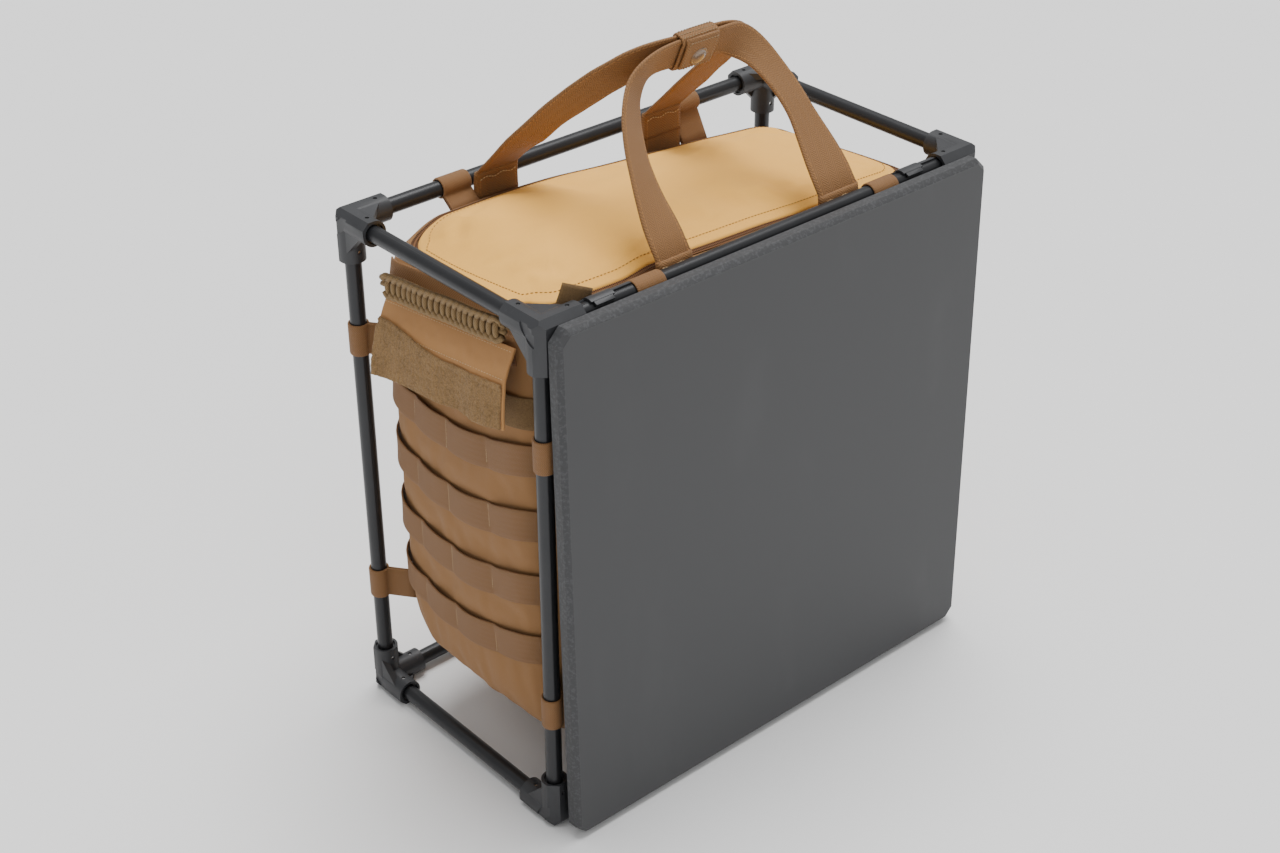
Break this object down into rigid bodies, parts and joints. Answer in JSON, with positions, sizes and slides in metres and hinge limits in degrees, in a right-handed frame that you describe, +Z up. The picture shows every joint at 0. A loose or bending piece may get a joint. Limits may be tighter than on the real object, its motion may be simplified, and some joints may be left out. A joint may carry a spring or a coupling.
{
  "type": "camp kitchen table",
  "caption": "Pole-framed camp kitchen table packed upright: fabric bag hung inside the frame by webbing loops, clip-on table board on the front, paired carry straps.",
  "frame": {"origin": "on the floor, under the centre of the whole object's bounding box", "axes": "+Z up; the table board faces -Y; the end with the woven grab handle faces -X"},
  "size_m": [0.4312, 0.2498, 0.5344],
  "materials": {
    "pole_black": "satin black anodised",
    "hub_grey": "fine moulded grain",
    "pin_steel": "bright",
    "board_grey": "fine matt texture",
    "clip_grey": "satin moulded",
    "screw_steel": "plain",
    "cloth_tan": "close woven nylon",
    "webbing_tan": "ribbed webbing",
    "zip_brown": "coil zip and tapes",
    "pile_tape": "hook and loop pile",
    "paracord_tan": "braided cord",
    "snap_brown": "satin lacquer",
    "slider_metal": "satin lacquer"
  },
  "bodies": {
    "frame": {"bag_body": "cloth_tan", "bag_lid": "cloth_tan", "carry_handle_back": "webbing_tan", "carry_handle_front": "webbing_tan", "end_strip": "webbing_tan", "handle_wrap": "cloth_tan", "hook_tabs": "pile_tape", "hook_tape_left": "pile_tape", "hook_tape_right": "pile_tape", "hub_bottom_back_left": "hub_grey", "hub_bottom_back_right": "hub_grey", "hub_bottom_front_left": "hub_grey", "hub_bottom_front_right": "hub_grey", "hub_pins": "pin_steel", "hub_top_back_left": "hub_grey", "hub_top_back_right": "hub_grey", "hub_top_front_left": "hub_grey", "hub_top_front_right": "hub_grey", "lid_zip": "zip_brown", "loops_back_left": "webbing_tan", "loops_back_right": "webbing_tan", "loops_front_left": "webbing_tan", "loops_front_right": "webbing_tan", "loops_top_back": "webbing_tan", "loops_top_front": "webbing_tan", "molle_webbing_left": "webbing_tan", "molle_webbing_right": "webbing_tan", "pocket_zip_left": "zip_brown", "pocket_zip_right": "zip_brown", "pole_bottom_back": "pole_black", "pole_bottom_front": "pole_black", "pole_bottom_left": "pole_black", "pole_bottom_right": "pole_black", "pole_top_back": "pole_black", "pole_top_front": "pole_black", "pole_top_left": "pole_black", "pole_top_right": "pole_black", "pole_upright_back_left": "pole_black", "pole_upright_back_right": "pole_black", "pole_upright_front_left": "pole_black", "pole_upright_front_right": "pole_black", "snap_stud": "snap_brown"},
    "table": {"table_board": "board_grey", "board_clip_left": "clip_grey", "board_clip_right": "clip_grey", "clip_screws": "screw_steel"},
    "wrap_flap_body": {"wrap_flap": "cloth_tan", "snap_button": "snap_brown"},
    "left_flap": {"pocket_flap_left": "cloth_tan", "flap_tape_left": "pile_tape"},
    "right_flap": {"pocket_flap_right": "cloth_tan", "flap_tape_right": "pile_tape"},
    "end_grip": {"end_handle": "paracord_tan"},
    "lid_slider": {"zip_slider": "slider_metal"},
    "lid_pull": {"zip_pull": "slider_metal"},
    "left_slider": {"pocket_slider_left": "slider_metal"},
    "right_slider": {"pocket_slider_right": "slider_metal"}
  },
  "joints": [
    {"name": "table_swing", "type": "hinge", "parent": "frame", "child": "table", "pos_m": [0, -0.09468, 0.4096], "axis": [-1, 0, 0], "range_deg": [0, 90]},
    {"name": "wrap_flap_open", "type": "hinge", "parent": "frame", "child": "wrap_flap_body", "pos_m": [0.008, -0.01894, 0.52936], "axis": [-1, 0, 0], "range_deg": [0, 150]},
    {"name": "left_flap_lift", "type": "hinge", "parent": "frame", "child": "left_flap", "pos_m": [-0.19248, 0.01032, 0.3706], "axis": [0, 0.9914, -0.1305], "range_deg": [0, 40]},
    {"name": "right_flap_lift", "type": "hinge", "parent": "frame", "child": "right_flap", "pos_m": [0.19248, 0.01032, 0.3706], "axis": [0, -0.9914, 0.1305], "range_deg": [0, 50]},
    {"name": "end_handle_tip", "type": "hinge", "parent": "frame", "child": "end_grip", "pos_m": [-0.19428, 0.01117, 0.37704], "axis": [0, -0.9914, 0.1305], "range_deg": [0, 12]},
    {"name": "lid_zip_slide", "type": "slide", "parent": "frame", "child": "lid_slider", "axis": [0.9993, -0.0384, 0], "range_m": [0, 0.035]},
    {"name": "zip_pull_lift", "type": "hinge", "parent": "lid_slider", "child": "lid_pull", "pos_m": [-0.15249, -0.0678, 0.4026], "axis": [0.0384, 0.9993, 0], "range_deg": [0, 90]},
    {"name": "left_pocket_zip_slide", "type": "slide", "parent": "frame", "child": "left_slider", "axis": [0, 0.9914, -0.1305], "range_m": [0, 0.105]},
    {"name": "right_pocket_zip_slide", "type": "slide", "parent": "frame", "child": "right_slider", "axis": [0, 0.9914, -0.1305], "range_m": [0, 0.105]}
  ]
}
